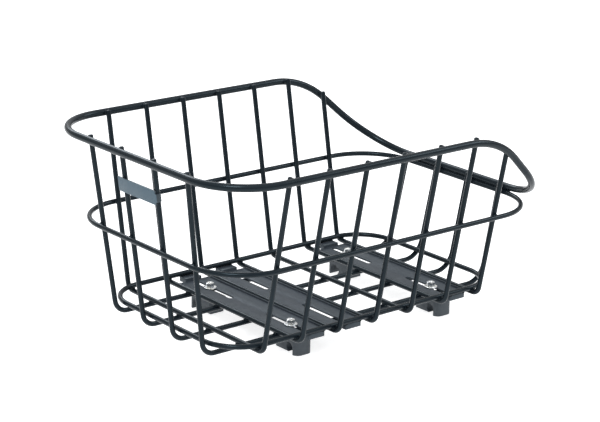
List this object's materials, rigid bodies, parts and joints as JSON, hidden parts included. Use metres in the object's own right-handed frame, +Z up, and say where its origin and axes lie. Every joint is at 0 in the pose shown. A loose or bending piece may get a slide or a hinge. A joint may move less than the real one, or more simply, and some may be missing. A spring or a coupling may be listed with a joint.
{
  "type": "bicycle carrier basket",
  "caption": "Black wire basket for a bicycle's rear carrier, with a recess for the saddle in its rim and clamp feet that slide in slotted strips.",
  "frame": {"origin": "under the middle of the basket, on the ground that the clamp feet stand on", "axes": "+X along the basket towards the saddle recess, +Y across it, +Z up"},
  "size_m": [0.4606, 0.334, 0.222],
  "materials": {
    "black_coat": "satin black powder coat on steel rod",
    "grey_coat": "satin grey coat on pressed steel strip",
    "badge_plate": "flat blue-grey painted plate, left blank",
    "nylon": "fine-textured dark moulded nylon",
    "zinc": "bright zinc plate"
  },
  "bodies": {
    "basket": {"top_rim": "black_coat", "middle_ring": "black_coat", "floor_ring": "black_coat", "cross_rib_1": "black_coat", "cross_rib_2": "black_coat", "cross_rib_3": "black_coat", "cross_rib_4": "black_coat", "cross_rib_5": "black_coat", "cross_rib_6": "black_coat", "cross_rib_7": "black_coat", "runner_1": "black_coat", "runner_2": "black_coat", "runner_3": "black_coat", "runner_4": "black_coat", "mounting_strip_a": "grey_coat", "mounting_strip_b": "grey_coat", "mounting_strip_c": "grey_coat", "badge_plate": "badge_plate"},
    "washer_a_near": {"clamp_washer_a_near": "zinc"},
    "nut_a_near": {"clamp_nut_a_near": "zinc"},
    "saddle_a_near": {"clamp_saddle_a_near": "nylon"},
    "jaw_a_near": {"clamp_jaw_a_near": "nylon", "clamp_bolt_a_near": "zinc"},
    "washer_a_far": {"clamp_washer_a_far": "zinc"},
    "nut_a_far": {"clamp_nut_a_far": "zinc"},
    "saddle_a_far": {"clamp_saddle_a_far": "nylon"},
    "jaw_a_far": {"clamp_jaw_a_far": "nylon", "clamp_bolt_a_far": "zinc"},
    "washer_c_near": {"clamp_washer_c_near": "zinc"},
    "nut_c_near": {"clamp_nut_c_near": "zinc"},
    "saddle_c_near": {"clamp_saddle_c_near": "nylon"},
    "jaw_c_near": {"clamp_jaw_c_near": "nylon", "clamp_bolt_c_near": "zinc"},
    "washer_c_far": {"clamp_washer_c_far": "zinc"},
    "nut_c_far": {"clamp_nut_c_far": "zinc"},
    "saddle_c_far": {"clamp_saddle_c_far": "nylon"},
    "jaw_c_far": {"clamp_jaw_c_far": "nylon", "clamp_bolt_c_far": "zinc"}
  },
  "joints": [
    {"name": "slot_slide_a_near", "type": "slide", "parent": "basket", "child": "washer_a_near", "axis": [0, 1, 0], "range_m": [0, 0.037]},
    {"name": "nut_spin_a_near", "type": "hinge", "parent": "washer_a_near", "child": "nut_a_near", "pos_m": [-0.0736, -0.0705, 0.0303], "axis": [0, 0, 1], "range_deg": [0, 360]},
    {"name": "foot_swivel_a_near", "type": "hinge", "parent": "washer_a_near", "child": "saddle_a_near", "pos_m": [-0.0736, -0.0705, 0.02], "axis": [0, 0, 1], "continuous": true},
    {"name": "jaw_drop_a_near", "type": "slide", "parent": "saddle_a_near", "child": "jaw_a_near", "axis": [0, 0, -1], "range_m": [0, 0.0008]},
    {"name": "slot_slide_a_far", "type": "slide", "parent": "basket", "child": "washer_a_far", "axis": [0, -1, 0], "range_m": [0, 0.037]},
    {"name": "nut_spin_a_far", "type": "hinge", "parent": "washer_a_far", "child": "nut_a_far", "pos_m": [-0.0736, 0.0705, 0.0303], "axis": [0, 0, 1], "range_deg": [0, 360]},
    {"name": "foot_swivel_a_far", "type": "hinge", "parent": "washer_a_far", "child": "saddle_a_far", "pos_m": [-0.0736, 0.0705, 0.02], "axis": [0, 0, 1], "continuous": true},
    {"name": "jaw_drop_a_far", "type": "slide", "parent": "saddle_a_far", "child": "jaw_a_far", "axis": [0, 0, -1], "range_m": [0, 0.0008]},
    {"name": "slot_slide_c_near", "type": "slide", "parent": "basket", "child": "washer_c_near", "axis": [0, 1, 0], "range_m": [0, 0.037]},
    {"name": "nut_spin_c_near", "type": "hinge", "parent": "washer_c_near", "child": "nut_c_near", "pos_m": [0.1264, -0.0705, 0.0303], "axis": [0, 0, 1], "range_deg": [0, 360]},
    {"name": "foot_swivel_c_near", "type": "hinge", "parent": "washer_c_near", "child": "saddle_c_near", "pos_m": [0.1264, -0.0705, 0.02], "axis": [0, 0, 1], "continuous": true},
    {"name": "jaw_drop_c_near", "type": "slide", "parent": "saddle_c_near", "child": "jaw_c_near", "axis": [0, 0, -1], "range_m": [0, 0.0008]},
    {"name": "slot_slide_c_far", "type": "slide", "parent": "basket", "child": "washer_c_far", "axis": [0, -1, 0], "range_m": [0, 0.037]},
    {"name": "nut_spin_c_far", "type": "hinge", "parent": "washer_c_far", "child": "nut_c_far", "pos_m": [0.1264, 0.0705, 0.0303], "axis": [0, 0, 1], "range_deg": [0, 360]},
    {"name": "foot_swivel_c_far", "type": "hinge", "parent": "washer_c_far", "child": "saddle_c_far", "pos_m": [0.1264, 0.0705, 0.02], "axis": [0, 0, 1], "continuous": true},
    {"name": "jaw_drop_c_far", "type": "slide", "parent": "saddle_c_far", "child": "jaw_c_far", "axis": [0, 0, -1], "range_m": [0, 0.0008]}
  ],
  "couplings": [
    {"joint": "nut_spin_a_near", "follows": "jaw_drop_a_near", "rad_per_m": 7854},
    {"joint": "nut_spin_a_far", "follows": "jaw_drop_a_far", "rad_per_m": 7854},
    {"joint": "nut_spin_c_near", "follows": "jaw_drop_c_near", "rad_per_m": 7854},
    {"joint": "nut_spin_c_far", "follows": "jaw_drop_c_far", "rad_per_m": 7854}
  ]
}
